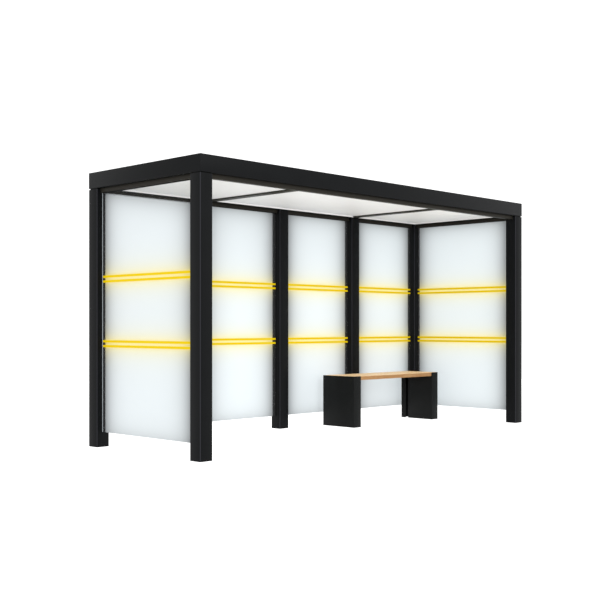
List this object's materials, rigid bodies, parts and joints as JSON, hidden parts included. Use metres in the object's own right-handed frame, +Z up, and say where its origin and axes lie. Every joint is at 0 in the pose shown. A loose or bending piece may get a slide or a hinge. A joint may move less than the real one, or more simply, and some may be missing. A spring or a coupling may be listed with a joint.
{
  "type": "bus shelter",
  "caption": "Open-fronted bus shelter: black square posts and flat roof ring, satin glass ends and back with yellow marking lines, and a timber bench.",
  "frame": {"origin": "middle of the footprint, on the ground", "axes": "+X along the shelter to the bench end, -Y out of the open front, +Z up"},
  "size_m": [4.4, 1.45, 2.3],
  "materials": {
    "frame": "satin",
    "glass": "satin",
    "lines": "satin",
    "ceiling": "satin",
    "roof_sheet": "matte",
    "bench_frame": "satin",
    "seat": "satin"
  },
  "bodies": {
    "root": {"front_left_post": "frame", "front_right_post": "frame", "rear_left_post": "frame", "rear_right_post": "frame", "rear_post_1": "frame", "rear_post_2": "frame", "rear_post_3": "frame", "front_beam": "frame", "rear_beam": "frame", "left_beam": "frame", "right_beam": "frame", "left_cross_beam": "frame", "right_cross_beam": "frame", "front_head_rail": "frame", "left_head_rail": "frame", "right_head_rail": "frame", "rear_head_rail_1": "frame", "rear_head_rail_2": "frame", "rear_head_rail_3": "frame", "rear_head_rail_4": "frame", "left_pane": "glass", "right_pane": "glass", "rear_pane_1": "glass", "rear_pane_2": "glass", "rear_pane_3": "glass", "rear_pane_4": "glass", "left_pane_lines": "lines", "right_pane_lines": "lines", "rear_pane_1_lines": "lines", "rear_pane_2_lines": "lines", "rear_pane_3_lines": "lines", "rear_pane_4_lines": "lines", "left_ceiling": "ceiling", "middle_ceiling": "ceiling", "right_ceiling": "ceiling", "roof_sheet": "roof_sheet", "bench_left_leg": "bench_frame", "bench_right_leg": "bench_frame", "bench_left_bearer": "bench_frame", "bench_right_bearer": "bench_frame", "seat_board_1": "seat", "seat_board_2": "seat", "seat_board_3": "seat", "seat_board_4": "seat"}
  },
  "joints": []
}
